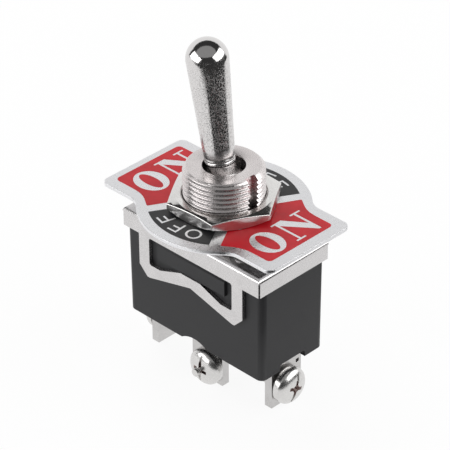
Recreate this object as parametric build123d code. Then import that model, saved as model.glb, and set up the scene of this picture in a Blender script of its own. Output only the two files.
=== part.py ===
"""Panel toggle switch, three positions (on, off, on), single pole, with screw terminals.

Millimetres. The origin is on the bushing's axis, on the top face of the sheet-metal frame.
+Z runs up the bushing, +X along the case's long side, +Y to its back.
The lever is modelled upright and then leant to the side that the photograph shows.
"""
from math import acos, atan2, cos, degrees, hypot, radians, sin, sqrt, tan
import os

from build123d import *

# Fits
slip = 0.05                 # side clearance of a sliding fit or a seat

# Sheet-metal frame
frame_length = 27.7
frame_width = 14.3
frame_sheet = 0.6
frame_bend = 0.7            # outer radius of the bends
flange_height = 3.1
corner_slit = 0.25
dimple_radius = 0.5
dimple_depth = 0.2
dimple_x = 8.2
dimple_y = -5.1

# Snap straps that hang from the frame's long sides
strap_outer = 21.0          # across the outsides of the arms
strap_window = 16.8         # across the insides of the arms
strap_drop = 10.05          # lowest edge, below the frame's top
strap_crimp_drop = 7.9      # lower edge in the middle, where the bar is crimped up
window_drop = 7.75          # the window's lower edge beside the arms
window_crimp_drop = 6.2     # the window's lower edge in the middle
window_crimp_flat = 4.0     # length of the raised middle
window_crimp_foot = 12.4    # across the feet of the slopes beside it
strap_corner = 1.6          # bevel
window_corner = 0.4

# Fibre sheet between frame and case
insulator_thickness = 0.5

# Moulded case
case_height = 18.15         # from the frame's top to the case's lowest edge
case_inset = 0.1            # how far the case's ends lie inside the frame's
case_wall = 1.15
case_floor = 3.7
case_skirt = 1.3            # how far the walls reach below the floor
case_corner = 1.0
case_draft = 0.3            # degrees
case_ledge_gap = 0.1        # between the frame's end flange and the ledge under it
lug_length = 13.6
lug_height = 2.8
lug_proud = 0.5
lug_lead_in = 0.4
end_notch_width = 5.2
end_notch_height = 1.1
middle_notch_radius = 4.5   # arch over the middle terminal
middle_notch_rise = 0.85

# Threaded bushing
bushing_radius = 6.0
bushing_top = 10.0
bushing_chamfer = 0.55
spigot_radius = 5.35
stake_height = 0.4
stake_radius = 5.8
lever_hole_radius = 3.12
lever_hole_bevel = 0.1
seat_angle = 55             # degrees from the axis at which the conical seat faces the ball
keyway_width = 1.8
keyway_depth = 1.05

# Lever, turned in one piece with its ball
pivot_height = 5.0          # ball centre, above the frame's top
lever_throw = 8.5           # degrees from upright to either end
ball_radius = 4.4
ball_band = 20              # degrees above and below the equator that are turned flat
ball_skirt_drop = 4.1       # where the cone under the band meets the stem
waist_radius = 2.1
waist_height = 5.2          # above the ball's centre
shoulder_radius = 2.5
ring_radius = 2.45
ring_pitch = 0.55
ring_count = 2
neck_radius = 2.17
tip_radius = 3.1
tip_height = 21.2           # tip centre above the ball's centre
stem_radius = 2.4
stem_length = 9.6           # below the ball's centre
stem_bore_radius = 1.55
stem_bore_top = 1.6         # below the ball's centre
pin_radius = 0.7
pin_length = 10.2

# Plunger and its spring, inside the lever's stem
plunger_reach = 14.0        # from the ball's centre to the plunger's tip
plunger_top = 6.6           # below the ball's centre
plunger_tip_radius = 0.2
plunger_tip_length = 1.5
pilot_radius = 0.95
pilot_height = 0.8
spring_wire = 0.36
spring_turns = 3
spring_radius = 1.25

# Rocking contact
rocker_throw = 6.0          # degrees from level to either end
rocker_overhang = 0.2       # past the contacts at each end
rocker_width = 4.6
rocker_sheet = 0.9
saddle_rise = 0.4           # how far the saddle's sides stand above its middle
saddle_length = 4.4
trunnion_radius = 0.8
trunnion_length = 7.0
trunnion_drop = 0.2         # trunnion axis below the saddle's underside
tip_gap = 0.15              # between the plunger's tip and the saddle

# Silver contacts
contact_radius = 1.5
contact_height = 0.6
contact_dome = 6.0          # radius of a moving contact's crowned face
contact_inset = 4.9         # from an end terminal's outer face to its contact's middle
closed_gap = 0.05

# Screw terminals
terminal_width = 6.2
terminal_sheet = 1.4
terminal_bend = 0.8
terminal_bottom = 25.3      # lowest edge, below the frame's top
end_terminal_inset = 1.25   # outer face of an end terminal, from the case's end
middle_terminal_face = 4.2  # outer face of the middle terminal, from the middle
middle_terminal_side = 0.4  # its blade, from the middle
foot_thickness = 1.2        # of the inner foot on the case's floor
end_foot_reach = 6.6        # how far an end foot reaches inwards
ear_thickness = 0.9
ear_width = 3.4
ear_rise = 0.3              # above the trunnion's axis
peep_hole = 0.6
peep_hole_side = 2.3
peep_hole_height = 19.3
screw_height = 21.8         # an end screw's axis, below the frame's top
middle_screw_height = 22.2
left_screw_side = 0.0       # a screw's axis, from the middle
right_screw_side = -0.5
middle_screw_side = 1.2
screw_radius = 1.5
screw_head_radius = 2.9
screw_head_height = 2.0
screw_rim_height = 1.1      # where the bevel starts, above the head's underside
screw_flat_radius = 1.9
screw_backed_out = 0.45     # gap under the head
screw_length = 6.0
slot_width = 0.7
slot_depth = 0.8
left_slot_turn = 0          # degrees
right_slot_turn = 20
middle_slot_turn = 5

# Panel hardware
nut_flats = 15.0
nut_top_circle = 14.4       # diameter of the flat on top, inside the bevel
nut_top_drop = 0.4          # of the corners at the top
nut_foot_circle = 14.8
nut_foot_drop = 0.7         # of the corners at the foot
nut_countersink = 0.25
front_nut_height = 2.0
back_nut_height = 2.2
front_nut_turn = 2.9        # degrees, as the photograph shows it
back_nut_turn = 20
washer_radius = 8.3
washer_ring = 1.1
washer_thickness = 0.7
washer_teeth = 10
washer_tooth_width = 1.3

# Indicator plate
plate_thickness = 0.6
plate_length = 34.0
plate_wing_width = 16.6
plate_disc_radius = 12.7
plate_fillet = 3.0
plate_corner = 1.2
plate_key_width = 1.5
plate_key_depth = 0.8

# Heights and lengths worked out from the sizes above
case_length = frame_length - 2 * case_inset
case_top = -frame_sheet - insulator_thickness
case_bottom = -case_height
floor_bottom = case_bottom + case_skirt
floor_top = floor_bottom + case_floor
foot_top = floor_top + foot_thickness
washer_bottom = back_nut_height
plate_bottom = washer_bottom + washer_thickness
plate_top = plate_bottom + plate_thickness
frame_inner_length = frame_length - 2 * frame_sheet
frame_inner_width = frame_width - 2 * frame_sheet
case_neck_length = frame_inner_length - 2 * slip
case_width = frame_inner_width - 2 * slip
case_ledge = -flange_height - case_ledge_gap
draft = (case_ledge - case_bottom) * tan(radians(case_draft))
cavity_length = case_neck_length - 2 * case_wall
cavity_width = case_width - 2 * case_wall
lug_bottom = slip - window_crimp_drop
screw_axis = -screw_height
middle_screw_axis = -middle_screw_height
seat_radius = ball_radius + slip
pin_slot_radius = pin_radius + slip
saddle_top = pivot_height - plunger_reach - tip_gap
saddle_underside = saddle_top - rocker_sheet
rocker_pivot = saddle_underside - trunnion_drop
moving_contact_face = saddle_underside + saddle_rise - contact_height
end_terminal_face = case_length / 2 - end_terminal_inset
contact_place = end_terminal_face - contact_inset
rocker_length = 2 * (contact_place + contact_radius + rocker_overhang)

# A closed pair meets where the crowned face is lowest with the rocker at its limit
dome_centre = moving_contact_face + contact_dome - rocker_pivot
closed_height = rocker_pivot - contact_dome - contact_place * sin(radians(rocker_throw))
closed_height += dome_centre * cos(radians(rocker_throw))
fixed_contact_top = closed_height - closed_gap


def block(length, width, bottom, top, x=0.0, y=0.0):
    """A block centred on x, y between two heights."""
    return Pos(x, y, (bottom + top) / 2) * Box(length, width, top - bottom)


def rod(radius, bottom, top):
    """An upright cylinder on the Z axis between two heights."""
    return Pos(0, 0, (bottom + top) / 2) * Cylinder(radius, top - bottom)


def revolved(points):
    """A turned solid from its half section in the XZ plane."""
    return revolve(make_face(Polyline(*points, close=True)), Axis.Z)


def make_strap_sheet():
    """One strap loop as a flat sheet, centred on y = 0."""
    arm = strap_outer / 2
    opening = strap_window / 2
    flat = window_crimp_flat / 2
    foot = window_crimp_foot / 2
    outer = Polyline(
        (-arm, 0, -frame_bend),
        (-arm, 0, -strap_drop),
        (-opening, 0, -strap_drop),
        (0, 0, -strap_crimp_drop),
        (opening, 0, -strap_drop),
        (arm, 0, -strap_drop),
        (arm, 0, -frame_bend),
        close=True,
    )
    inner = Polyline(
        (-opening, 0, -flange_height),
        (-opening, 0, -window_drop),
        (-foot, 0, -window_drop),
        (-flat, 0, -window_crimp_drop),
        (flat, 0, -window_crimp_drop),
        (foot, 0, -window_drop),
        (opening, 0, -window_drop),
        (opening, 0, -flange_height),
        close=True,
    )
    loop = extrude(make_face(outer), amount=frame_sheet / 2, dir=(0, 1, 0), both=True)
    sides = loop.edges().filter_by(Axis.Y).group_by(Axis.X)
    bevel = min(strap_corner, arm - opening - slip)
    loop = chamfer([sides[0].sort_by(Axis.Z)[0], sides[-1].sort_by(Axis.Z)[0]], bevel)
    window = extrude(make_face(inner), amount=frame_sheet, dir=(0, 1, 0), both=True)
    window = fillet(window.edges().filter_by(Axis.Y), window_corner)
    return loop - window


def make_frame():
    """Folded tray with a snap strap on each long side."""
    tray = block(frame_length, frame_width, -flange_height, 0)
    tray = fillet(tray.edges().group_by(Axis.Z)[-1], frame_bend)
    hollow = block(frame_inner_length, frame_inner_width, -flange_height, -frame_sheet)
    hollow = fillet(hollow.edges().group_by(Axis.Z)[-1], frame_bend - frame_sheet)
    frame = tray - hollow
    for side_y in (-1, 1):
        strap_y = side_y * (frame_width - frame_sheet) / 2
        frame += Pos(0, strap_y, 0) * make_strap_sheet()
    for side_x in (-1, 1):
        for side_y in (-1, 1):
            slit = block(3 * frame_sheet, corner_slit, -flange_height, -frame_bend)
            slit = Rot(0, 0, 45 * side_x * side_y) * slit
            frame -= Pos(side_x * frame_length / 2, side_y * frame_width / 2, 0) * slit
    frame -= rod(spigot_radius + slip, -frame_sheet, 0)
    return frame - Pos(dimple_x, dimple_y, 0) * rod(dimple_radius, -dimple_depth, 0)


def make_insulator():
    """Fibre sheet with a hole that clears the bushing's staked end."""
    length = frame_inner_length - 4 * slip
    width = frame_inner_width - 4 * slip
    sheet = block(length, width, case_top, -frame_sheet)
    sheet = fillet(sheet.edges().filter_by(Axis.Z), case_corner)
    return sheet - rod(stake_radius + slip, case_top, -frame_sheet)


def make_case():
    """Moulded box, open at the top, with a skirt round the terminals."""
    foot_length = case_length - 2 * draft
    foot_width = case_width - 2 * draft
    shell = loft([
        Pos(0, 0, case_bottom) * RectangleRounded(foot_length, foot_width, case_corner),
        Pos(0, 0, case_ledge) * RectangleRounded(case_length, case_width, case_corner),
    ], ruled=True)
    neck = block(case_neck_length, case_width, case_ledge, case_top)
    shell += fillet(neck.edges().filter_by(Axis.Z), case_corner)

    cavity = block(cavity_length, cavity_width, floor_top, case_top)
    shell -= fillet(cavity.edges().filter_by(Axis.Z), case_corner)
    under_length = case_length - 2 * case_wall - 2 * slip
    under = block(under_length, case_width - 2 * case_wall, case_bottom, floor_bottom)
    shell -= fillet(under.edges().filter_by(Axis.Z), case_corner / 2)

    for side in (-1, 1):
        lug = block(lug_length, 2 * lug_proud, lug_bottom, lug_bottom + lug_height)
        lug = Pos(0, side * case_width / 2, 0) * lug
        lead_in = lug.edges().filter_by(Axis.X).group_by(Axis.Z)[-1].sort_by(Axis.Y)
        shell += chamfer(lead_in[-1 if side > 0 else 0], lug_lead_in)

        notch = block(3 * case_wall, end_notch_width, case_bottom, case_bottom + end_notch_height)
        notch = fillet(notch.edges().filter_by(Axis.X).group_by(Axis.Z)[-1], end_notch_height / 2)
        shell -= Pos(side * case_length / 2, 0, 0) * notch

        slot_x = side * (end_terminal_face - terminal_sheet / 2)
        slot_length = terminal_sheet + 2 * slip
        slot_width_y = terminal_width + 2 * slip
        shell -= block(slot_length, slot_width_y, case_bottom, foot_top + slip, slot_x)

    arch_height = case_bottom + middle_notch_rise - middle_notch_radius
    arch = Rot(90, 0, 0) * Cylinder(middle_notch_radius, 3 * case_wall)
    shell -= Pos(0, -case_width / 2, arch_height) * arch
    slot = block(terminal_width + 2 * slip, terminal_sheet + 2 * slip, floor_bottom, floor_top)
    return shell - Pos(middle_terminal_side, terminal_sheet / 2 - middle_terminal_face, 0) * slot


def make_bushing():
    """Turned bushing with a conical ball seat, a keyway, and two grooves for the lever's pin."""
    stake_bottom = -frame_sheet - stake_height
    hole = lever_hole_radius
    slope = tan(radians(seat_angle))
    touch_radius = seat_radius * sin(radians(seat_angle))
    touch_height = pivot_height + seat_radius * cos(radians(seat_angle))
    body = revolved([
        (seat_radius, 0, stake_bottom),
        (stake_radius, 0, stake_bottom),
        (stake_radius, 0, -frame_sheet),
        (spigot_radius, 0, -frame_sheet),
        (spigot_radius, 0, 0),
        (bushing_radius, 0, 0),
        (bushing_radius, 0, bushing_top - bushing_chamfer),
        (bushing_radius - bushing_chamfer, 0, bushing_top),
        (hole + lever_hole_bevel, 0, bushing_top),
        (hole, 0, bushing_top - lever_hole_bevel),
        (hole, 0, touch_height + (touch_radius - hole) * slope),
        (seat_radius, 0, touch_height - (seat_radius - touch_radius) * slope),
    ])
    keyway_x = bushing_radius - keyway_depth / 2
    body -= block(keyway_depth, keyway_width, 0, bushing_top, keyway_x)
    groove_length = pin_length + 2 * slip
    body -= block(2 * pin_slot_radius, groove_length, stake_bottom, pivot_height)
    body -= Pos(0, 0, pivot_height) * Rot(90, 0, 0) * Cylinder(pin_slot_radius, groove_length)
    return body


def make_nut(height, turn):
    """Thin hexagon nut with its corners bevelled, a little at the top and more at the foot."""
    corner_radius = nut_flats / sqrt(3)
    bore = bushing_radius + slip
    prism = extrude(RegularPolygon(nut_flats / 2, 6, major_radius=False), amount=height)
    turned = revolved([
        (bore, 0, 0),
        (nut_foot_circle / 2, 0, 0),
        (corner_radius, 0, nut_foot_drop),
        (corner_radius, 0, height - nut_top_drop),
        (nut_top_circle / 2, 0, height),
        (bore + nut_countersink, 0, height),
        (bore, 0, height - nut_countersink),
    ])
    return Rot(0, 0, turn) * (prism & turned)


def make_lock_washer():
    """Ring with teeth that point inwards."""
    ring = rod(washer_radius, 0, washer_thickness) - rod(washer_radius - washer_ring, 0, washer_thickness)
    tooth_start = bushing_radius + 2 * slip
    tooth_end = washer_radius - washer_ring / 2
    tooth = block(tooth_end - tooth_start, washer_tooth_width, 0, washer_thickness, (tooth_start + tooth_end) / 2)
    for number in range(washer_teeth):
        ring += Rot(0, 0, number * 360 / washer_teeth) * tooth
    return ring


def make_indicator_plate():
    """Flat stamped plate: a disc between two wings, with a tab that keys into the bushing."""
    half = plate_length / 2
    outline = Circle(plate_disc_radius) + Rectangle(plate_length, plate_wing_width)
    wing_root = sqrt(plate_disc_radius**2 - (plate_wing_width / 2) ** 2)
    roots = [v for v in outline.vertices() if abs(abs(v.X) - wing_root) < slip]
    outline = fillet(roots, plate_fillet)
    corners = [v for v in outline.vertices() if abs(abs(v.X) - half) < slip]
    outline = fillet(corners, plate_corner)
    plate = extrude(outline, amount=plate_thickness)
    plate -= rod(bushing_radius + slip, 0, plate_thickness)
    key_tip = bushing_radius - plate_key_depth
    key_root = bushing_radius + 2 * slip
    plate += block(key_root - key_tip, plate_key_width, 0, plate_thickness, (key_tip + key_root) / 2)
    return Pos(0, 0, plate_bottom) * plate


def make_lever():
    """Turned lever with its ball, upright, with the spring's bore in its stem."""
    band_radius = ball_radius * cos(radians(ball_band))
    band_height = ball_radius * sin(radians(ball_band))
    shoulder = sqrt(ball_radius**2 - shoulder_radius**2)
    arc_middle = radians(ball_band + degrees(acos(shoulder_radius / ball_radius))) / 2
    neck_start = waist_height + ring_count * ring_pitch
    section = [
        Line((0, 0, -stem_length), (stem_radius, 0, -stem_length)),
        Line((stem_radius, 0, -stem_length), (stem_radius, 0, -ball_skirt_drop)),
        Line((stem_radius, 0, -ball_skirt_drop), (band_radius, 0, -band_height)),
        Line((band_radius, 0, -band_height), (band_radius, 0, band_height)),
        ThreePointArc(
            (band_radius, 0, band_height),
            (ball_radius * cos(arc_middle), 0, ball_radius * sin(arc_middle)),
            (shoulder_radius, 0, shoulder),
        ),
        Line((shoulder_radius, 0, shoulder), (waist_radius, 0, waist_height)),
    ]
    corner = (waist_radius, 0, waist_height)
    for ring in range(ring_count):
        groove = waist_height + ring * ring_pitch
        crest = (ring_radius, 0, groove + ring_pitch / 2)
        foot = (neck_radius, 0, groove + ring_pitch)
        section.append(Line(corner, crest))
        section.append(Line(crest, foot))
        corner = foot
    taper = tip_height - neck_start
    turn = atan2(neck_radius, taper) + acos(tip_radius / hypot(neck_radius, taper))
    tip_edge = (tip_radius * sin(turn), 0, tip_height - tip_radius * cos(turn))
    section.append(Line((neck_radius, 0, neck_start), tip_edge))
    slant = tip_radius / sqrt(2)
    section.append(ThreePointArc(tip_edge, (slant, 0, tip_height + slant), (0, 0, tip_height + tip_radius)))
    section.append(Line((0, 0, tip_height + tip_radius), (0, 0, -stem_length)))
    lever = revolve(make_face(section), Axis.Z)
    lever -= rod(stem_bore_radius, -stem_length, -stem_bore_top)
    lever -= Rot(90, 0, 0) * Cylinder(pin_radius, 2 * ball_radius)
    return lever


def make_plunger():
    """Moulded plunger with a blunt conical tip and a pilot for the spring."""
    radius = stem_bore_radius - slip
    return revolved([
        (0, 0, -plunger_reach),
        (plunger_tip_radius, 0, -plunger_reach),
        (radius, 0, plunger_tip_length - plunger_reach),
        (radius, 0, -plunger_top),
        (pilot_radius, 0, -plunger_top),
        (pilot_radius, 0, pilot_height - plunger_top),
        (0, 0, pilot_height - plunger_top),
    ])


def make_spring():
    """Coil spring between the stem bore's end and the plunger, wound from square wire."""
    length = plunger_top - stem_bore_top - spring_wire - 2 * slip
    helix = Helix(length / spring_turns, length, spring_radius)
    start = Plane(origin=helix @ 0, z_dir=helix % 0)
    coil = sweep(start * Rectangle(spring_wire, spring_wire), path=helix, is_frenet=True)
    return Pos(0, 0, -plunger_top + spring_wire / 2 + slip) * coil


def on_lever(piece):
    """A piece of the lever, moved to the pivot and leant with it."""
    return Pos(0, 0, pivot_height) * Rot(0, -lever_throw, 0) * piece


def make_rocker():
    """Bent copper strip with a saddle for the plunger and trunnions under it, level."""
    end = rocker_length / 2
    rim = saddle_length / 2
    top = [
        (-end, 0, saddle_rise),
        (-rim, 0, saddle_rise),
        (0, 0, 0),
        (rim, 0, saddle_rise),
        (end, 0, saddle_rise),
    ]
    underside = [(x, y, z - rocker_sheet) for x, y, z in reversed(top)]
    section = make_face(Polyline(*top, *underside, close=True))
    strip = extrude(section, amount=rocker_width / 2, dir=(0, 1, 0), both=True)
    strip = fillet(strip.edges().filter_by(Axis.Z), rocker_width / 8)
    trunnion = Rot(90, 0, 0) * Cylinder(trunnion_radius, trunnion_length)
    return Pos(0, 0, saddle_top) * strip + Pos(0, 0, rocker_pivot) * trunnion


def make_moving_contact(side):
    """Silver button under one end of the level rocker, with a face crowned along X."""
    top = moving_contact_face + contact_height
    button = rod(contact_radius, moving_contact_face, top)
    crown = Rot(90, 0, 0) * Cylinder(contact_dome, 2 * contact_radius)
    button &= Pos(0, 0, moving_contact_face + contact_dome) * crown
    return Pos(side * contact_place, 0, 0) * button


def on_rocker(piece):
    """A piece of the rocker, tilted about its trunnions."""
    centre = Pos(0, 0, rocker_pivot)
    return centre * Rot(0, rocker_throw, 0) * centre.inverse() * piece


def make_end_terminal(side, screw_side):
    """Plated blade outside, bent to a foot on the case's floor inside."""
    blade_x = end_terminal_face - terminal_sheet / 2
    blade = block(terminal_sheet, terminal_width, -terminal_bottom, foot_top, blade_x)
    foot_x = end_terminal_face - end_foot_reach / 2
    terminal = blade + block(end_foot_reach, terminal_width, floor_top, foot_top, foot_x)
    bend = terminal.edges().filter_by(Axis.Y).group_by(Axis.Z)[-1].sort_by(Axis.X)[-1]
    terminal = fillet(bend, terminal_bend)
    hole = Rot(0, 90, 0) * Cylinder(screw_radius + slip, 4 * terminal_sheet)
    terminal -= Pos(blade_x, screw_side, screw_axis) * hole
    terminal -= Pos(blade_x, peep_hole_side, -peep_hole_height) * Box(2 * terminal_sheet, peep_hole, peep_hole)
    return terminal if side > 0 else mirror(terminal, Plane.YZ)


def make_middle_terminal():
    """Plated blade outside; inside, a foot with two ears that cradle the rocker."""
    blade_y = terminal_sheet / 2 - middle_terminal_face
    terminal = block(terminal_width, terminal_sheet, -terminal_bottom, foot_top, middle_terminal_side, blade_y)
    ear_y = (rocker_width + ear_thickness) / 2 + 2 * slip
    foot_back = ear_y + ear_thickness / 2
    foot_width = middle_terminal_face + foot_back
    foot_y = foot_back - foot_width / 2
    terminal += block(terminal_width, foot_width, floor_top, foot_top, middle_terminal_side, foot_y)
    for side in (-1, 1):
        terminal += block(ear_width, ear_thickness, foot_top, rocker_pivot + ear_rise, 0, side * ear_y)
    cradle = trunnion_radius + slip
    terminal -= Pos(0, 0, rocker_pivot) * Rot(90, 0, 0) * Cylinder(cradle, 2 * foot_width)
    terminal -= block(2 * cradle, 2 * foot_width, rocker_pivot, rocker_pivot + 2 * cradle)
    hole = Rot(90, 0, 0) * Cylinder(screw_radius + slip, 2 * terminal_sheet)
    return terminal - Pos(middle_screw_side, blade_y, middle_screw_axis) * hole


def make_screw(slot_turn):
    """Pan-head screw with its axis on +X and the head's underside at x = 0."""
    screw = revolved([
        (0, 0, -screw_length),
        (screw_radius, 0, -screw_length),
        (screw_radius, 0, 0),
        (screw_head_radius, 0, 0),
        (screw_head_radius, 0, screw_rim_height),
        (screw_flat_radius, 0, screw_head_height),
        (0, 0, screw_head_height),
    ])
    slot = block(slot_width, 3 * screw_head_radius, screw_head_height - slot_depth, screw_head_height)
    return Rot(0, 90, 0) * (screw - Rot(0, 0, slot_turn) * slot)


def main():
    left_seat = Pos(-end_terminal_face - screw_backed_out, left_screw_side, screw_axis)
    right_seat = Pos(end_terminal_face + screw_backed_out, right_screw_side, screw_axis)
    middle_seat = Pos(middle_screw_side, -middle_terminal_face - screw_backed_out, middle_screw_axis)
    contact = rod(contact_radius, foot_top, fixed_contact_top)
    parts = {
        "case": make_case(),
        "frame": make_frame(),
        "insulator_sheet": make_insulator(),
        "bushing": make_bushing(),
        "back_nut": make_nut(back_nut_height, back_nut_turn),
        "lock_washer": Pos(0, 0, washer_bottom) * make_lock_washer(),
        "indicator_plate": make_indicator_plate(),
        "front_nut": Pos(0, 0, plate_top) * make_nut(front_nut_height, front_nut_turn),
        "lever": on_lever(make_lever()),
        "lever_pin": on_lever(Rot(90, 0, 0) * Cylinder(pin_radius, pin_length)),
        "plunger": on_lever(make_plunger()),
        "plunger_spring": on_lever(make_spring()),
        "rocker": on_rocker(make_rocker()),
        "rocker_contact_left": on_rocker(make_moving_contact(-1)),
        "rocker_contact_right": on_rocker(make_moving_contact(1)),
        "fixed_contact_left": Pos(-contact_place, 0, 0) * contact,
        "fixed_contact_right": Pos(contact_place, 0, 0) * contact,
        "terminal_left": make_end_terminal(-1, left_screw_side),
        "terminal_right": make_end_terminal(1, right_screw_side),
        "terminal_middle": make_middle_terminal(),
        "screw_left": left_seat * Rot(0, 0, 180) * make_screw(left_slot_turn),
        "screw_right": right_seat * make_screw(right_slot_turn),
        "screw_middle": middle_seat * Rot(0, 0, -90) * make_screw(middle_slot_turn),
    }
    os.makedirs("parts", exist_ok=True)
    for name, shape in parts.items():
        export_step(shape, f"parts/{name}.step")


main()
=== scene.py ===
import math

import bmesh
import bpy
from mathutils import Matrix, Vector


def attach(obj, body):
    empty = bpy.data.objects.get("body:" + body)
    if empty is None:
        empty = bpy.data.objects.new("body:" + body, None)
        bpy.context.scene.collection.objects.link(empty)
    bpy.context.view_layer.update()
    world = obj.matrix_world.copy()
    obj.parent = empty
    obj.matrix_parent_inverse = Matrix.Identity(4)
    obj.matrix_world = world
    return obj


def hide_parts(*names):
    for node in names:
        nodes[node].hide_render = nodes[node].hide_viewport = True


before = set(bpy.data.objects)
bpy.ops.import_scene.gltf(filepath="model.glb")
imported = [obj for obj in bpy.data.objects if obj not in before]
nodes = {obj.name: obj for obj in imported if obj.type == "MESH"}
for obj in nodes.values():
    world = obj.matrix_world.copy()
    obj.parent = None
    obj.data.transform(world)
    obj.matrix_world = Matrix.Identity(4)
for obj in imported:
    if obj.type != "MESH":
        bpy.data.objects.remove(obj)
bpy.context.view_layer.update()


MM = 0.001
scene = bpy.context.scene

# Camera fitted to the photograph: degrees, and millimetres in the row frame
CAMERA_AZIMUTH = 44.79
CAMERA_ELEVATION = 33.31
CAMERA_ROLL = -0.41
CAMERA_DISTANCE = 360.38
CAMERA_SHIFT = (0.072, -0.286)
CLIP_START = 0.01           # metres
LENS = 200.0
SENSOR = 36.0

# Places in the row frame, millimetres
FLOOR = -25.3
PLATE_TOP = 3.5
PIVOT = 5.0                 # height of the ball's centre
THROW = 8.5                 # degrees that the lever leans towards -X
DIMPLE = (8.2, -5.1, 0.0)


# ---------------------------------------------------------------- camera
def camera_axes():
    a, e, r = (math.radians(v) for v in (CAMERA_AZIMUTH, CAMERA_ELEVATION, CAMERA_ROLL))
    back = Vector((math.sin(a) * math.cos(e), -math.cos(a) * math.cos(e), math.sin(e)))
    level = Vector((math.cos(a), math.sin(a), 0))
    up = back.cross(level)
    right = math.cos(r) * level + math.sin(r) * up
    up = math.cos(r) * up - math.sin(r) * level
    return right, up, back


def make_camera():
    right, up, back = camera_axes()
    place = back * CAMERA_DISTANCE + right * CAMERA_SHIFT[0] + up * CAMERA_SHIFT[1]
    data = bpy.data.cameras.new("camera")
    data.lens = LENS
    data.sensor_width = SENSOR
    data.sensor_fit = "HORIZONTAL"
    data.clip_start = CLIP_START
    camera = bpy.data.objects.new("camera", data)
    matrix = Matrix((right, up, back)).transposed().to_4x4()
    matrix.translation = place * MM
    camera.matrix_world = matrix
    scene.collection.objects.link(camera)
    scene.camera = camera


make_camera()
scene.view_settings.view_transform = "Standard"

# Fixed directions of the studio: its front is where the photographer stood
AZIMUTH = math.radians(CAMERA_AZIMUTH)
FRONT = Vector((math.sin(AZIMUTH), -math.cos(AZIMUTH), 0))
SIDE = Vector((-FRONT.y, FRONT.x, 0))


def studio_direction(azimuth, elevation):
    """Unit vector from degrees to the right of the studio's front and degrees up."""
    a, e = math.radians(azimuth), math.radians(elevation)
    level = FRONT * math.cos(a) + SIDE * math.sin(a)
    return level * math.cos(e) + Vector((0, 0, math.sin(e)))


# ---------------------------------------------------------------- helpers for nodes and pieces
COLOUR_A, COLOUR_B, COLOUR_OUT = 6, 7, 2    # a mix node's colour sockets


class Tree:
    """Short calls for building one node tree."""

    def __init__(self, tree):
        self.tree = tree
        tree.nodes.clear()

    def add(self, kind, inputs=None, **settings):
        node = self.tree.nodes.new(kind)
        for key, value in settings.items():
            setattr(node, key, value)
        for key, value in (inputs or {}).items():
            self.put(node, key, value)
        return node

    def put(self, node, key, value):
        if isinstance(value, bpy.types.NodeSocket):
            self.tree.links.new(value, node.inputs[key])
        else:
            node.inputs[key].default_value = value

    def math(self, operation, a, b=0.0):
        return self.add("ShaderNodeMath", {0: a, 1: b}, operation=operation).outputs[0]

    def vector_math(self, operation, *inputs):
        node = self.add("ShaderNodeVectorMath", dict(enumerate(inputs)), operation=operation)
        return node.outputs["Value"]

    def dot(self, a, b):
        return self.vector_math("DOT_PRODUCT", a, b)

    def ramp(self, value, low, high, to_low=0.0, to_high=1.0):
        node = self.add("ShaderNodeMapRange", {
            "Value": value, "From Min": low, "From Max": high, "To Min": to_low, "To Max": to_high,
        })
        return node.outputs["Result"]

    def mix(self, factor, a, b):
        node = self.add("ShaderNodeMix", {"Factor": factor}, data_type="RGBA")
        self.put(node, COLOUR_A, a)
        self.put(node, COLOUR_B, b)
        return node.outputs[COLOUR_OUT]

    def noise(self, vector, size, detail, roughness):
        """size in millimetres"""
        node = self.add("ShaderNodeTexNoise", {
            "Vector": vector, "Scale": 1 / (size * MM), "Detail": detail, "Roughness": roughness,
        })
        return node.outputs["Fac"]

    def scaled(self, vector, x, y, z):
        return self.add("ShaderNodeMapping", {"Vector": vector, "Scale": (x, y, z)}).outputs[0]

    def bump(self, height, strength, distance):
        """distance in millimetres"""
        node = self.add("ShaderNodeBump", {
            "Height": height, "Strength": strength, "Distance": distance * MM,
        })
        return node.outputs[0]

    def emission(self, level, strength):
        node = self.add("ShaderNodeEmission", {"Color": grey(level), "Strength": strength})
        return node.outputs[0]

    def surface(self, shader):
        self.add("ShaderNodeOutputMaterial", {"Surface": shader})


def grey(v):
    return (v, v, v, 1.0)


def shade(colour, factor):
    """A colour made darker or lighter, with its alpha."""
    return (*(min(1, c * factor) for c in colour), 1.0)


def material(name):
    mat = bpy.data.materials.new(name)
    mat.use_nodes = True
    return mat, Tree(mat.node_tree)


def new_piece(name, points, faces):
    """A piece from points in millimetres."""
    mesh = bpy.data.meshes.new(name)
    mesh.from_pydata([Vector(p) * MM for p in points], [], faces)
    piece = bpy.data.objects.new(name, mesh)
    scene.collection.objects.link(piece)
    return piece


def flat_piece(name, points, mat):
    """One polygon."""
    piece = new_piece(name, points, [list(range(len(points)))])
    piece.data.materials.append(mat)
    return piece


# ---------------------------------------------------------------- studio
WALL_LEVEL = 1.0            # the white backdrop
DARK_LEVEL = 0.04           # the unlit side of the studio
CEILING_LEVEL = 0.31        # the oval lit part of the ceiling
BOX_LEVEL = 3.0             # the softboxes

# The world's parts, measured on the unit sphere of directions
BACKDROP_SLOPE = 0.93       # its top edge, for each unit towards the back
BACKDROP_SPREAD = 2.1       # its side edges, for each unit towards the back
BACKDROP_BLUR = 0.02
CEILING_ELEVATION = 66      # degrees
CEILING_LEFT = 0.08         # how far left of the front its middle lies
CEILING_HALF_WIDTH = 0.78
CEILING_HALF_DEPTH = 0.54
CEILING_EDGE = (1.06, 0.94)     # squared radii, outer and inner, between which the oval fades in

# The floor, millimetres from the row frame's origin
FLOOR_HALF = 1500.0
PAPER_LEVEL = 0.92
GLOW_RANGE = (40.0, 200.0)  # the floor's own white grows between these distances
GLOW_LEAST = 0.92           # its share near the object

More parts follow.
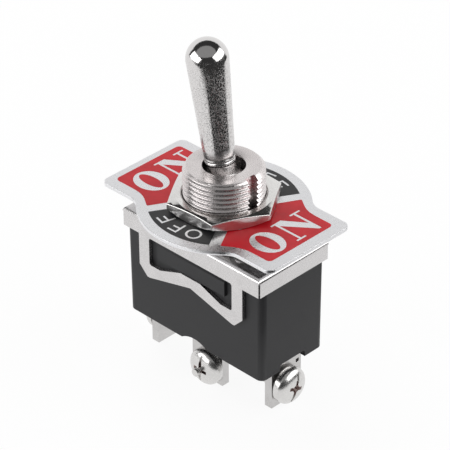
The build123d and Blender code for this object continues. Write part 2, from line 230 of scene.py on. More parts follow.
# The dark card, millimetres to the studio's front and side, and above the floor
CARD_LIFT = 0.3
CARD_OUTLINE = [
    (40, -29), (90, -33), (84, -48), (75, -57), (102, -119), (127, -382), (140, -1400),
    (1450, -1400), (1450, 1400), (-600, 1400), (-156, 238), (-44, 155), (-13, 119), (0, 113),
    (14, 74), (30, 34), (40, 22),
]

# The softboxes' corners, degrees to the right of the front and up
BOX_DISTANCE = 420.0
BOX_LEFT = [(-104, 5), (-97, 33), (-33, 24), (-48, 1)]
BOX_RIGHT = [(118, 36), (112, 10), (50, 8), (32, 34)]

# The key lamp over the back
KEY_DIRECTION = (-145, 52)
KEY_DISTANCE = 600.0
KEY_SIZE = (0.5, 0.35)      # metres
KEY_ENERGY = 1.8            # watts


def make_world():
    world = bpy.data.worlds.new("studio")
    scene.world = world
    world.use_nodes = True
    t = Tree(world.node_tree)
    direction = t.add("ShaderNodeTexCoord").outputs["Generated"]
    front = t.dot(direction, tuple(FRONT))
    side = t.dot(direction, tuple(SIDE))
    up = t.dot(direction, (0, 0, 1))

    behind = t.math("MULTIPLY", front, -1.0)
    below_edge = t.math("SUBTRACT", t.math("MULTIPLY", behind, BACKDROP_SLOPE), up)
    spread = t.math("MULTIPLY", behind, BACKDROP_SPREAD)
    within = t.math("SUBTRACT", spread, t.math("ABSOLUTE", side))
    inside = t.math("MINIMUM", below_edge, within)
    backdrop = t.ramp(inside, -BACKDROP_BLUR, BACKDROP_BLUR)

    centre = studio_direction(0, CEILING_ELEVATION)
    across = t.math("DIVIDE", t.math("ADD", side, CEILING_LEFT), CEILING_HALF_WIDTH)
    along = t.math("DIVIDE", t.dot(direction, tuple(centre.cross(SIDE))), CEILING_HALF_DEPTH)
    radius = t.math("ADD", t.math("MULTIPLY", across, across), t.math("MULTIPLY", along, along))
    oval = t.math("MULTIPLY", t.ramp(radius, *CEILING_EDGE), t.math("GREATER_THAN", up, 0.0))

    colour = t.mix(oval, grey(DARK_LEVEL), grey(CEILING_LEVEL))
    colour = t.mix(backdrop, colour, grey(WALL_LEVEL))
    path = t.add("ShaderNodeLightPath")
    colour = t.mix(path.outputs["Is Camera Ray"], colour, grey(1.0))
    background = t.add("ShaderNodeBackground", {"Color": colour, "Strength": 1.0})
    t.add("ShaderNodeOutputWorld", {"Surface": background.outputs[0]})


def make_floor():
    """White to the camera and in mirrors, with the object's shadow kept near it."""
    mat, t = material("floor")
    path = t.add("ShaderNodeLightPath")
    seen = t.math("MAXIMUM", path.outputs["Is Camera Ray"], path.outputs["Is Glossy Ray"])
    seen = t.math("MAXIMUM", seen, path.outputs["Is Transmission Ray"])
    away = t.vector_math("LENGTH", t.add("ShaderNodeTexCoord").outputs["Object"])
    near, far = (distance * MM for distance in GLOW_RANGE)
    share = t.math("MULTIPLY", seen, t.ramp(away, near, far, GLOW_LEAST, 1.0))
    paper = t.add("ShaderNodeBsdfDiffuse", {"Color": grey(PAPER_LEVEL)}).outputs[0]
    glow = t.emission(1.0, 1.0)
    t.surface(t.add("ShaderNodeMixShader", {0: share, 1: paper, 2: glow}).outputs[0])
    half = FLOOR_HALF
    square = [(-half, -half), (half, -half), (half, half), (-half, half)]
    floor = flat_piece("floor", [(x, y, FLOOR) for x, y in square], mat)


def make_dark_card():
    """The dark front of the table, seen in the metal only."""
    mat, t = material("dark_card")
    t.surface(t.emission(DARK_LEVEL, 1.0))
    lift = Vector((0, 0, FLOOR + CARD_LIFT))
    card = flat_piece("dark_card", [FRONT * f + SIDE * s + lift for f, s in CARD_OUTLINE], mat)
    card.visible_camera = False
    card.visible_diffuse = False
    card.visible_shadow = False
    card.visible_transmission = False
    card.visible_volume_scatter = False


def make_softbox(name, directions):
    mat, t = material(name)
    t.surface(t.emission(1.0, BOX_LEVEL))
    box = flat_piece(name, [studio_direction(a, e) * BOX_DISTANCE for a, e in directions], mat)
    box.visible_camera = False


def make_key():
    """Large soft lamp over the back, which gives the floor its shadow."""
    data = bpy.data.lights.new("key", "AREA")
    data.shape = "RECTANGLE"
    data.size, data.size_y = KEY_SIZE
    data.energy = KEY_ENERGY
    key = bpy.data.objects.new("key", data)
    place = studio_direction(*KEY_DIRECTION) * KEY_DISTANCE
    key.location = place * MM
    key.rotation_euler = place.to_track_quat("Z", "Y").to_euler()
    key.visible_glossy = False
    scene.collection.objects.link(key)


make_world()
make_floor()
make_dark_card()
make_softbox("softbox_left", BOX_LEFT)
make_softbox("softbox_right", BOX_RIGHT)
make_key()


# ---------------------------------------------------------------- materials
# Metal: patches in millimetres, and the noise values between which tone and gloss change
PATCH_SIZE = 2.4
PATCH_RANGE = (0.35, 0.65)
GRAIN_SHARE = 0.6           # of the fine grain in the unevenness, the rest is patches

# Matt flecks on the lever's plating
FLECK_SIZE = 0.13
FLECK_STRETCH = 0.7         # below 1 they are longer upwards
FLECK_RANGE = (0.50, 0.58)
FLECK_FULL, FLECK_TOP = 24.5, 27.4    # full below the first height, gone above the second
FLECK_COVER = 0.5
FLECK_TONE = 0.92

# Tool marks on a nut's sides; a face's upward part is 1 on top and 0 on a side
GROOVE_SIZE = 0.15
GROOVE_STRETCH = 0.04
GROOVE_FADE = (0.5, 0.2)
SIDE_ROUGHNESS = 0.32
SIDE_TO_TOP = (0.3, 0.7)

# Ink: grain and patches in millimetres
INK_GRAIN = 0.22
INK_PATCH = 1.9
INK_RANGE = (0.3, 0.7)
INK_TONES = (0.9, 1.1)
INK_GLOSS = 0.05            # either way
INK_SPECULAR = 0.27
INK_RELIEF_STRENGTH = 0.6
INK_RELIEF = 0.004          # depth in millimetres

# Plastic
SKIN_PATCH = 3.5
SKIN_GRAIN_SHARE = 0.4
SKIN_TONE_RANGE = (0.25, 0.75)
SKIN_TONES = (0.85, 1.2)
SKIN_GLOSS_RANGE = (0.3, 0.7)
SKIN_GLOSS = 0.06           # either way


def principled(t, normal, **values):
    node = t.add("ShaderNodeBsdfPrincipled")
    for key, value in values.items():
        t.put(node, key.replace("_", " "), value)
    t.put(node, "Normal", normal)
    t.surface(node.outputs[0])


def blend(t, a, b, share):
    """Sum of two values with a share of the first."""
    return t.math("ADD", t.math("MULTIPLY", a, share), t.math("MULTIPLY", b, 1 - share))


def metal(name, colour, roughness, grain, depth, mottle=0.08, spread=0.06, flecks=0.0,
          grooves=0.0, anisotropy=0.0):
    """Plated or bare metal: fine grain in mm with its depth, uneven tone and gloss, matt flecks,
    and upright tool marks on faces that stand, with their depth in mm."""
    mat, t = material(name)
    coordinates = t.add("ShaderNodeTexCoord")
    place = coordinates.outputs["Object"]
    fine = t.noise(place, grain, detail=2.0, roughness=0.6)
    broad = t.noise(place, PATCH_SIZE, detail=4.0, roughness=0.55)
    uneven = blend(t, fine, broad, GRAIN_SHARE)
    tone = t.mix(t.ramp(uneven, *PATCH_RANGE), shade(colour, 1 - mottle), shade(colour, 1 + mottle))
    gloss = t.ramp(uneven, *PATCH_RANGE, roughness - spread / 2, roughness + spread / 2)
    if flecks:
        stretched = t.scaled(place, 1, 1, FLECK_STRETCH)
        spots = t.noise(stretched, FLECK_SIZE, detail=1.0, roughness=0.5)
        spots = t.ramp(spots, *FLECK_RANGE)
        height = t.add("ShaderNodeSeparateXYZ", {"Vector": place}).outputs["Z"]
        spots = t.math("MULTIPLY", spots, t.ramp(height, FLECK_TOP * MM, FLECK_FULL * MM))
        gloss = t.math("ADD", gloss, t.math("MULTIPLY", spots, flecks))
        tone = t.mix(t.math("MULTIPLY", spots, FLECK_COVER), tone, shade(colour, FLECK_TONE))
    relief = t.math("MULTIPLY", fine, depth)
    if grooves:
        upward = t.math("ABSOLUTE", t.dot(coordinates.outputs["Normal"], (0, 0, 1)))
        gloss = t.ramp(upward, *SIDE_TO_TOP, SIDE_ROUGHNESS, roughness)
        stretched = t.scaled(place, 1, 1, GROOVE_STRETCH)
        marks = t.noise(stretched, GROOVE_SIZE, detail=2.0, roughness=0.6)
        marks = t.math("MULTIPLY", marks, t.ramp(upward, *GROOVE_FADE))
        relief = t.math("ADD", relief, t.math("MULTIPLY", marks, grooves))
    principled(t, t.bump(relief, strength=1.0, distance=1.0), Base_Color=tone, Roughness=gloss,
               Metallic=1.0, Anisotropic=anisotropy)
    return mat


def printed(name, colour, roughness):
    """Screen-printed ink with a slightly uneven film."""
    mat, t = material(name)
    place = t.add("ShaderNodeTexCoord").outputs["Object"]
    fine = t.noise(place, INK_GRAIN, detail=3.0, roughness=0.6)
    broad = t.noise(place, INK_PATCH, detail=3.0, roughness=0.5)
    tone = t.mix(t.ramp(broad, *INK_RANGE), *(shade(colour, factor) for factor in INK_TONES))
    gloss = t.ramp(fine, *INK_RANGE, roughness - INK_GLOSS, roughness + INK_GLOSS)
    relief = t.bump(fine, INK_RELIEF_STRENGTH, INK_RELIEF)
    principled(t, relief, Base_Color=tone, Roughness=gloss, Specular_IOR_Level=INK_SPECULAR)
    return mat


def plastic(name, colour, roughness, grain, depth, specular=0.5):
    """Moulded plastic with a fine skin."""
    mat, t = material(name)
    place = t.add("ShaderNodeTexCoord").outputs["Object"]
    fine = t.noise(place, grain, detail=3.0, roughness=0.65)
    broad = t.noise(place, SKIN_PATCH, detail=4.0, roughness=0.6)
    tone = t.mix(t.ramp(broad, *SKIN_TONE_RANGE), *(shade(colour, factor) for factor in SKIN_TONES))
    uneven = blend(t, fine, broad, SKIN_GRAIN_SHARE)
    gloss = t.ramp(uneven, *SKIN_GLOSS_RANGE, roughness - SKIN_GLOSS, roughness + SKIN_GLOSS)
    principled(t, t.bump(fine, strength=1.0, distance=depth), Base_Color=tone, Roughness=gloss,
               Specular_IOR_Level=specular)
    return mat


PLATING = (0.68, 0.665, 0.66)
NICKEL = metal("nickel", (0.66, 0.64, 0.63), 0.26, 0.16, 0.0014)
NUT = metal("nut_nickel", (0.70, 0.69, 0.675), 0.10, 0.16, 0.0010, grooves=0.012, anisotropy=0.90)
THREAD = metal("thread_nickel", (0.69, 0.65, 0.645), 0.27, 0.15, 0.0020, mottle=0.14, spread=0.10)
CHROME = metal("lever_chrome", PLATING, 0.09, 0.14, 0.0050, mottle=0.03, spread=0.03, flecks=0.50)
NECK = metal("lever_neck", PLATING, 0.24, 0.20, 0.0020)
STEEL = metal("sheet_steel", (0.64, 0.625, 0.625), 0.26, 0.15, 0.0020)
ALUMINIUM = metal("plate_aluminium", (0.80, 0.80, 0.815), 0.30, 0.18, 0.0030, spread=0.12)
TIN = metal("terminal_plating", (0.56, 0.55, 0.545), 0.30, 0.16, 0.0020)
SCREW = metal("screw_plating", (0.68, 0.67, 0.66), 0.26, 0.18, 0.0016)
# Darker, browner plating for the faces inside the screws' cross recess: painted shade
PAINTED_RECESS_SHADE = metal("screw_recess_painted_shade", (0.50, 0.41, 0.39), 0.40, 0.14, 0.0040, mottle=0.15)
WASHER = metal("washer_zinc", (0.50, 0.50, 0.52), 0.32, 0.16, 0.0016)
SPRING = metal("spring_steel", (0.45, 0.45, 0.46), 0.28, 0.12, 0.0012)
COPPER = metal("copper", (0.72, 0.36, 0.23), 0.27, 0.2, 0.0016, mottle=0.12)
SILVER = metal("silver", (0.80, 0.79, 0.77), 0.22, 0.2, 0.0014)
RED = printed("print_red", (0.51, 0.012, 0.020), 0.36)
BLACK = printed("print_black", (0.021, 0.021, 0.022), 0.36)
CASE = plastic("case_moulding", (0.0175, 0.0175, 0.019), 0.50, 0.15, 0.006, specular=0.35)
NYLON = plastic("nylon", (0.62, 0.58, 0.48), 0.45, 0.2, 0.003)
FIBRE = plastic("fibre", (0.30, 0.12, 0.06), 0.62, 0.12, 0.008, specular=0.3)


# ---------------------------------------------------------------- CAD nodes
WELD_DISTANCE = 1e-6        # metres
FLAT_ANGLE = 0.4            # degrees, faces that meet at less are merged
ROUND_ANGLE = 28            # degrees, edges that turn by more are rounded


def add_rounding(piece, width, segments, angle):
    """Rounds a piece's sharp edges; width in millimetres, angle in degrees."""
    modifier = piece.modifiers.new("edges", "BEVEL")
    modifier.width = width * MM
    modifier.segments = segments
    modifier.limit_method = "ANGLE"
    modifier.angle_limit = math.radians(angle)
    modifier.harden_normals = True


def dress(name, mat, edge, segments=2, merge=True):
    """Gives a CAD node its material and small rounded edges. The nuts' faces stay unmerged,
    because a merged ring would be split again across its hole."""
    piece = nodes[name]
    piece.data.materials.clear()
    piece.data.materials.append(mat)
    weld = piece.modifiers.new("weld", "WELD")
    weld.merge_threshold = WELD_DISTANCE
    if merge:
        plane = piece.modifiers.new("plane", "DECIMATE")
        plane.decimate_type = "DISSOLVE"
        plane.angle_limit = math.radians(FLAT_ANGLE)
    add_rounding(piece, edge, segments, ROUND_ANGLE)
    split = piece.modifiers.new("split", "TRIANGULATE")
    split.min_vertices = 5
    split.keep_custom_normals = True


dress("case", CASE, 0.12)
dress("frame", STEEL, 0.07)
dress("insulator_sheet", FIBRE, 0.04)
dress("back_nut", NUT, 0.06, merge=False)
dress("lock_washer", WASHER, 0.06)
dress("indicator_plate", ALUMINIUM, 0.06)
dress("front_nut", NUT, 0.14, segments=3, merge=False)
dress("lever_pin", SPRING, 0.05)
dress("plunger", NYLON, 0.04)
dress("plunger_spring", SPRING, 0.03)
dress("rocker", COPPER, 0.06)
for contact in ("rocker_contact_left", "rocker_contact_right", "fixed_contact_left",
                "fixed_contact_right"):
    dress(contact, SILVER, 0.05)
for terminal in ("terminal_left", "terminal_right", "terminal_middle"):
    dress(terminal, TIN, 0.07)


# ---------------------------------------------------------------- mesh helpers
MERGE_DISTANCE = 2e-6       # metres
ON_AXIS = 1e-9              # millimetres, a smaller radius is a point on the axis
TO_PIVOT = Matrix.Translation((0, 0, PIVOT * MM))

# A thread's section: shares of the pitch, and of the way from root to crest
THREAD_SHAPE = [
    (0.00, 0.0), (0.16, 0.0), (0.24, 0.12), (0.46, 0.9),
    (0.53, 1.0), (0.63, 1.0), (0.70, 0.9), (0.92, 0.12),
]


def finish_mesh(piece, mat, sharp):
    """Merges doubled points, turns the faces outwards and shades smooth up to an angle."""
    mesh = piece.data
    work = bmesh.new()
    work.from_mesh(mesh)
    bmesh.ops.remove_doubles(work, verts=work.verts, dist=MERGE_DISTANCE)
    bmesh.ops.dissolve_degenerate(work, edges=work.edges, dist=MERGE_DISTANCE)
    bmesh.ops.recalc_face_normals(work, faces=work.faces)
    work.to_mesh(mesh)
    work.free()
    mesh.materials.clear()
    mesh.materials.append(mat)
    mesh.shade_smooth()
    mesh.set_sharp_from_angle(angle=math.radians(sharp))


def second_material(piece, mat, chosen):
    """Gives a material to the faces whose centre, in millimetres, is chosen."""
    piece.data.materials.append(mat)
    for face in piece.data.polygons:
        if chosen(face.center / MM):
            face.material_index = 1


def rotation(angle, axis):
    return Matrix.Rotation(math.radians(angle), 4, axis)


def translation(place):
    return Matrix.Translation(Vector(place) * MM)


def arc(centre, radius, start, end, count):
    """Points in a plane, degrees."""
    result = []
    for i in range(count + 1):
        a = math.radians(start + (end - start) * i / count)
        result.append((centre[0] + radius * math.cos(a), centre[1] + radius * math.sin(a)))
    return result


def add_row(points, radius, height, segments):
    """Adds a ring of points, or one on the axis, and gives a point's number for each segment."""
    first = len(points)
    if radius < ON_AXIS:
        points.append((0, 0, height))
        return [first] * segments
    for s in range(segments):
        a = 2 * math.pi * s / segments
        points.append((radius * math.cos(a), radius * math.sin(a), height))
    return list(range(first, first + segments))


def join_rows(low, high):
    """Faces between two rows, triangles where one of them is a single point."""
    faces = []
    for s in range(len(low)):
        n = (s + 1) % len(low)
        face = list(dict.fromkeys((low[s], low[n], high[n], high[s])))
        if len(face) > 2:
            faces.append(face)
    return faces


def turned(name, profile, segments):
    """Closed solid of revolution from (radius, height) pairs that start and end on the axis, or
    that go round a closed ring's section."""
    points, faces = [], []
    rows = [add_row(points, radius, height, segments) for radius, height in profile]
    pairs = list(zip(rows, rows[1:]))
    if profile[0][0] > ON_AXIS:
        pairs.append((rows[-1], rows[0]))
    for low, high in pairs:
        faces += join_rows(low, high)
    return new_piece(name, points, faces)


def threaded(name, crest, root, pitch, bottom, top, limit, foot, head, segments):
    """Solid with a right-hand thread between two heights, and plain rows of (radius, height)
    past both ends. limit gives the largest radius at a height."""
    per_turn = len(THREAD_SHAPE)
    turns = math.ceil((top - bottom) / pitch) + 1
    points, faces, index = [], [], {}

    def vertex(column, row):
        row += (column // segments) * per_turn
        column %= segments
        if (column, row) not in index:
            a = 2 * math.pi * column / segments
            place, rise = THREAD_SHAPE[row % per_turn]
            height = bottom + (row // per_turn + place + column / segments) * pitch
            height = min(max(height, bottom), top)
            radius = min(root + rise * (crest - root), limit(height))
            index[column, row] = len(points)
            points.append((radius * math.cos(a), radius * math.sin(a), height))
        return index[column, row]

    def extend(rows, edge):
        previous = [vertex(column, edge) for column in range(segments)]
        for radius, height in rows:
            current = add_row(points, radius, height, segments)
            faces.extend(join_rows(previous, current))
            previous = current
        return previous

    first, last = -per_turn, turns * per_turn
    for row in range(first, last):
        for column in range(segments):
            faces.append([vertex(column, row), vertex(column + 1, row),
                          vertex(column + 1, row + 1), vertex(column, row + 1)])
    low = extend(foot, first)
    high = extend(head, last)
    if foot[-1][0] > ON_AXIS:
        faces += join_rows(low, high)
    return new_piece(name, points, faces)


def block(low, high):
    """Box between two corners, to cut with."""
    x, y, z = zip(low, high)
    points = [(x[i], y[j], z[k]) for i in (0, 1) for j in (0, 1) for k in (0, 1)]
    faces = [(0, 1, 3, 2), (4, 6, 7, 5), (0, 4, 5, 1), (2, 3, 7, 6), (0, 2, 6, 4), (1, 5, 7, 3)]
    return new_piece("cutter", points, faces)


def cross_rod(radius, reach, place):
    """Rod along Y, moved by a matrix, to cut with."""
    rod = turned("cutter", [(0, -reach), (radius, -reach), (radius, reach), (0, reach)], 48)
    rod.data.transform(place @ rotation(90, "X"))
    return rod


def cut(piece, cutters):
    """Subtracts closed pieces from a piece and keeps the result as its mesh."""
    for cutter in cutters:
        modifier = piece.modifiers.new("cut", "BOOLEAN")
        modifier.operation = "DIFFERENCE"
        modifier.solver = "EXACT"
        modifier.object = cutter
    shown = piece.evaluated_get(bpy.context.evaluated_depsgraph_get())
    mesh = bpy.data.meshes.new_from_object(shown)
    piece.modifiers.clear()
    old = piece.data
    piece.data = mesh
    mesh.name = piece.name
    bpy.data.meshes.remove(old)
    for cutter in cutters:
        data = cutter.data
        bpy.data.objects.remove(cutter)
        bpy.data.meshes.remove(data)


# ---------------------------------------------------------------- threaded bushing
def make_bushing():
    """Bushing with a helical thread, a keyway, a conical ball seat and two grooves for the pin."""
    crest, root, pitch = 5.99, 5.64, 0.75
    top, chamfer, run_out = 10.0, 0.55, 0.02
    hole, seat = 3.12, 4.45
    groove, groove_reach = 0.75, 5.15
    keyway_floor, keyway_half = 4.95, 0.9
    past_crest, past_top, past_foot = 7.0, 11.0, -1.5

    def limit(height):
        return crest - max(0.0, height - (top - run_out - chamfer))

    foot = [(5.35, 0.0), (5.35, -0.6), (5.8, -0.6), (5.8, -1.0), (seat, -1.0)]
    head = [(5.42, top), (3.24, top), (3.19, 9.985), (3.14, 9.94), (hole, 9.88), (hole, 8.302),
            (seat, 6.403)]
    piece = threaded("threaded_bushing", crest, root, pitch, 0.0, top - run_out, limit, foot, head,
                     168)
    groove_top = cross_rod(groove, groove_reach, TO_PIVOT)
    cut(piece, [
        block((keyway_floor, -keyway_half, run_out), (past_crest, keyway_half, past_top)),
        block((-groove, -groove_reach, past_foot), (groove, groove_reach, PIVOT)),
        groove_top,
    ])
    finish_mesh(piece, THREAD, 40)
    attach(piece, "housing")
    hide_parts("bushing")


make_bushing()


# ---------------------------------------------------------------- lever
# Radius and height above the ball's centre of the shoulder and waist, up to the first ring
LEVER_WAIST = [(2.44, 3.70), (2.36, 3.84), (2.28, 4.1), (2.18, 4.6), (2.11, 5.0), (2.10, 5.16)]

# A soft ring round the neck: radius, and height from its middle
LEVER_RING = [
    (2.16, -0.24), (2.19, -0.17), (2.235, -0.08), (2.25, 0), (2.24, 0.08), (2.215, 0.17),
    (2.20, 0.24),
]
RING_HEIGHTS = (5.475, 6.025)


def make_lever():
    """Lever, upright about the ball's centre while it is made, then leant."""
    ball, band_angle, shoulder = 4.4, 20, 2.5
    stem, stem_foot, skirt, soft = 2.4, -9.6, -4.1, 0.05
    bore, bore_top = 1.55, -1.6
    pin, pin_reach = 0.7, 5.0
    tip, tip_height, crown_end = 3.1, 21.2, 87
    neck, neck_height, taper_steps = 2.28, 6.6, 12
    satin_top = 7.9         # the neck below it has its own material

    band = (ball * math.cos(math.radians(band_angle)), ball * math.sin(math.radians(band_angle)))
    dome_end = math.degrees(math.acos(shoulder / ball))
    profile = [(bore, stem_foot), (stem - soft, stem_foot), (stem, stem_foot + soft), (stem, skirt),
               (band[0], -band[1])]
    profile += arc((0, 0), ball, band_angle, dome_end, 18)
    profile += LEVER_WAIST
    for middle in RING_HEIGHTS:
        profile += [(radius, middle + height) for radius, height in LEVER_RING]
    profile += [(2.23, 6.32), (neck, neck_height)]

    rise = tip_height - neck_height
    turn = math.atan2(neck, rise) + math.acos(tip / math.hypot(neck, rise))
    crown = arc((0, tip_height), tip, math.degrees(turn) - 90, crown_end, 30)
    end, end_height = crown[0]
    for i in range(1, taper_steps):
        share = i / taper_steps
        profile.append((neck + (end - neck) * share,
                        neck_height + (end_height - neck_height) * share))
    profile += crown
    profile.append((0, tip_height + tip))

    hollow = [(0, bore_top), (bore - soft, bore_top), (bore, bore_top - soft),
              (bore, stem_foot + soft)]
    piece = turned("turned_lever", hollow + profile, 144)
    cut(piece, [cross_rod(pin, pin_reach, Matrix())])
    finish_mesh(piece, CHROME, 38)
    second_material(piece, NECK, lambda centre: centre.z < satin_top)
    piece.data.transform(TO_PIVOT @ rotation(-THROW, "Y"))
    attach(piece, "lever")
    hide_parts("lever")


make_lever()


# ---------------------------------------------------------------- screws
SCREW_HEAD = [              # radius, and height above the head's underside
    (1.5, -0.02), (1.6, 0.0), (2.82, 0.0), (2.88, 0.03), (2.9, 0.09), (2.9, 0.72), (2.88, 0.88),
    (2.82, 1.04), (2.71, 1.21), (2.56, 1.37), (2.38, 1.52), (2.14, 1.67), (1.86, 1.79), (1.5, 1.9),
    (1.0, 1.97), (0.5, 1.995), (0, 2.0),
]
ABOVE_HEAD = 3.0
SLOT_HALF, SLOT_FLOOR = 0.2, 1.52
WINGS = [                   # half length, half width and height of the cross recess
    (0.7, 0.14, 1.15), (1.3, 0.27, 1.97), (1.3, 0.27, ABOVE_HEAD),
]
RECESS_HEIGHTS = (0.5, 1.86)
RECESS_REACH = 1.32


def wing_pair():
    """One wing pair of a cross recess, which narrows downwards, to cut with."""
    points = []
    for reach, width, height in WINGS:
        points += [(-reach, -width, height), (reach, -width, height), (reach, width, height),
                   (-reach, width, height)]
    faces = [(3, 2, 1, 0), (8, 9, 10, 11)]
    for low in (0, 4):
        for side in range(4):
            n = (side + 1) % 4
            faces.append((low + side, low + n, low + 4 + n, low + 4 + side))
    return new_piece("cutter", points, faces)


def in_recess(centre):
    low, high = RECESS_HEIGHTS
    return low < centre.z < high and math.hypot(centre.x, centre.y) < RECESS_REACH


def make_screw(name, body, turn, place, heading):
    """Screw with its slot turned, its head's underside at a place and its axis at a heading,
    both turns in degrees."""
    crest, root, pitch = 1.48, 1.2, 0.5
    length, point, neck = 6.0, 0.4, 0.12
    rounding, rounding_angle = 0.035, 48

    def limit(height):
        return min(crest, crest - point + (height + length))

    foot = [(0.6, -length), (0, -length)]
    piece = threaded(name, crest, root, pitch, -length, -neck, limit, foot, SCREW_HEAD, 72)
    slot = block((-SLOT_HALF, -ABOVE_HEAD, SLOT_FLOOR), (SLOT_HALF, ABOVE_HEAD, ABOVE_HEAD))
    wings = [wing_pair(), wing_pair()]
    wings[1].data.transform(rotation(90, "Z"))
    cone = [(0, 0.9), (0.3, 1.15), (0.62, 1.99), (0.62, ABOVE_HEAD), (0, ABOVE_HEAD)]
    cutters = [slot, *wings, turned("cutter", cone, 32)]
    for cutter in cutters:
        cutter.data.transform(rotation(turn, "Z"))
    cut(piece, cutters)
    finish_mesh(piece, SCREW, 32)
    # The faces inside the cross recess get the darker material, which paints shade into the recess
    second_material(piece, PAINTED_RECESS_SHADE, in_recess)
    piece.data.transform(translation(place) @ rotation(heading, "Z") @ rotation(90, "Y"))
    add_rounding(piece, rounding, 2, rounding_angle)
    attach(piece, body)
    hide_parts(body)


make_screw("screw_left_detail", "screw_left", 80, (-12.95, 0, -21.8), 180)
make_screw("screw_right_detail", "screw_right", 70, (12.95, -0.5, -21.8), 0)
make_screw("screw_middle_detail", "screw_middle", 87, (1.2, -4.65, -22.2), -90)


# ---------------------------------------------------------------- dimple in the frame
DIMPLE_LIP = [              # radius, and height above the frame's top
    (0.50, -0.03), (0.50, 0.08), (0.54, 0.115), (0.60, 0.12), (0.68, 0.09), (0.80, 0.0),
    (0.80, -0.03),
]


def make_dimple_lip():
    """Burr that the punch raised round the locating dimple."""
    piece = turned("dimple_lip", DIMPLE_LIP, 40)
    piece.data.transform(translation(DIMPLE))
    finish_mesh(piece, NICKEL, 40)
    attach(piece, "housing")


make_dimple_lip()


# ---------------------------------------------------------------- print on the plate
FILM_LOW, FILM_HIGH = -0.004, 0.012     # of the ink, above the plate's top

# The O of ON: its thin stroke at top and bottom, and its inner outline's half width and shift,
# both across the letter, which is along Y
O_STROKE = 0.55
O_INNER_HALF = 0.98
O_INNER_SHIFT = -0.04

# Capital N with thin stems, serifs and a broad diagonal: across from its left, down from its top
N_HEIGHT = 5.45
N_LEFT = 0.05
N_SHAPE = [
    (0, 0), (2.15, 0), (4.5, 3.3), (4.5, 0.33), (3.9, 0.33), (3.9, 0), (5.9, 0), (5.9, 0.33),
    (4.92, 0.33), (4.92, 5.45), (4.5, 5.45), (1.02, 0.95), (1.02, 5.12), (1.85, 5.12),
    (1.85, 5.45), (0, 5.45), (0, 5.12), (0.62, 5.12), (0.62, 0.33), (0, 0.33),
]

# F: along from its stem, up from its foot
F_SHAPE = [
    (0, 0), (0.34, 0), (0.34, 0.95), (1.5, 0.95), (1.5, 1.27), (0.34, 1.27), (0.34, 1.98),
    (1.72, 1.98), (1.72, 2.3), (0, 2.3),
]

# A red field's edge on +Y from the nut outwards, up to its rounded outer corner
RED_EDGE, RED_CORNER = 6.5, 0.7
RED_HALF = [
    (5.0, 4.04), (7.35, 8.2), (7.55, 8.22), (8.45, 7.62), (9.1, 7.2), (9.8, 6.86), (10.6, 6.62),
    (11.6, 6.52), (12.6, RED_EDGE),
]
RED_INNER_RADIUS, RED_INNER_ANGLE = 6.43, 38.9

BLACK_RADIUS, BLACK_INNER_RADIUS = 11.1, 6.45
BLACK_END, BLACK_INNER_END = (6.05, 9.15), (3.75, 5.25)     # towards the ends of its two arcs

OFF_BASELINE = 8.05         # radius of the letters' feet
OFF_ANGLES = (-73.5, -87.0, -104.3)
OFF_BACK_TURN = 184


def printed_field(name, loops, mat):
    """A thin film of ink; loops are closed outlines in mm, a loop inside another is a gap."""
    data = bpy.data.curves.new(name, "CURVE")
    data.dimensions = "2D"
    data.fill_mode = "BOTH"
    data.extrude = (FILM_HIGH - FILM_LOW) / 2 * MM
    for loop in loops:
        spline = data.splines.new("POLY")
        spline.points.add(len(loop) - 1)
        for point, (x, y) in zip(spline.points, loop):
            point.co = (x * MM, y * MM, 0, 1)
        spline.use_cyclic_u = True
    carrier = bpy.data.objects.new(name + "_outline", data)
    scene.collection.objects.link(carrier)
    shown = carrier.evaluated_get(bpy.context.evaluated_depsgraph_get())
    mesh = bpy.data.meshes.new_from_object(shown)
    bpy.data.objects.remove(carrier)
    bpy.data.curves.remove(data)
    middle = PLATE_TOP + (FILM_LOW + FILM_HIGH) / 2
    mesh.transform(Matrix.Translation((0, 0, middle * MM)))
    piece = bpy.data.objects.new(name, mesh)
    scene.collection.objects.link(piece)
    finish_mesh(piece, mat, 30)
    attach(piece, "housing")


def ellipse(centre, half_x, half_y, count=64):
    result = []
    for i in range(count):
        a = 2 * math.pi * i / count
        result.append((centre[0] + half_x * math.cos(a), centre[1] + half_y * math.sin(a)))
    return result


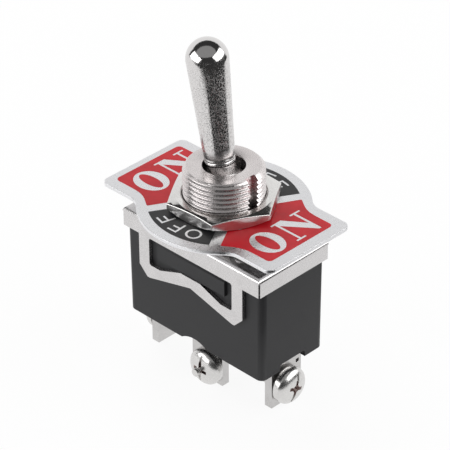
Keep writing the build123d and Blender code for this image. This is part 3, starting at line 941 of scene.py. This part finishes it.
def red_field(side, reach):
    """Outline of a red field on one wing; side is 1 on +X and -1 on -X."""
    centre = (reach - RED_CORNER, RED_EDGE - RED_CORNER)
    back = RED_HALF + arc(centre, RED_CORNER, 90, 0, 6)
    front = [(x, -y) for x, y in reversed(back)]
    inner = arc((0, 0), RED_INNER_RADIUS, -RED_INNER_ANGLE, RED_INNER_ANGLE, 12)[1:-1]
    return [(side * x, y) for x, y in back + front + inner]


def on_loops(centre, half, n_top, n_height):
    """The letters O and N as gaps in a red field, their tops towards -X, reading towards +Y."""
    return [
        ellipse(centre, *half),
        ellipse((centre[0], centre[1] + O_INNER_SHIFT), half[0] - O_STROKE, O_INNER_HALF),
        [(n_top + down * n_height / N_HEIGHT, N_LEFT + across) for across, down in N_SHAPE],
    ]


def black_field(side):
    """Outline of a black field between the wings; side is 1 on +Y and -1 on -Y."""
    end = math.degrees(math.atan2(BLACK_END[1], BLACK_END[0]))
    inner = math.degrees(math.atan2(BLACK_INNER_END[1], BLACK_INNER_END[0]))
    outline = arc((0, 0), BLACK_RADIUS, end, 180 - end, 40)
    outline += arc((0, 0), BLACK_INNER_RADIUS, 180 - inner, inner, 16)
    return [(side * x, side * y) for x, y in outline]


def on_arc(points, angle):
    """Letter points (along, up) placed on the baseline's arc, tops outward, reading clockwise."""
    a = math.radians(angle)
    out = (math.cos(a), math.sin(a))
    along = (math.sin(a), -math.cos(a))
    result = []
    for u, v in points:
        r = OFF_BASELINE + v
        result.append((out[0] * r + along[0] * u, out[1] * r + along[1] * u))
    return result


def off_loops(turn):
    """The letters O, F and F as gaps in a black field."""
    middle = (0.0, 1.15)
    o_angle, first_f, second_f = (angle + turn for angle in OFF_ANGLES)
    return [
        on_arc(ellipse(middle, 1.22, 1.2, 48), o_angle),
        on_arc(ellipse(middle, 0.88, 0.86, 48), o_angle),
        on_arc(F_SHAPE, first_f),
        on_arc(F_SHAPE, second_f),
    ]


printed_field(
    "print_red_right",
    [red_field(1, 15.2), *on_loops((11.6, -3.1), (2.83, 2.33), n_top=9.0, n_height=5.4)],
    RED,
)
printed_field(
    "print_red_left",
    [red_field(-1, 15.85), *on_loops((-11.75, -3.2), (2.9, 2.4), n_top=-14.7, n_height=5.6)],
    RED,
)
printed_field("print_black_front", [black_field(-1), *off_loops(0)], BLACK)
printed_field("print_black_back", [black_field(1), *off_loops(OFF_BACK_TURN)], BLACK)
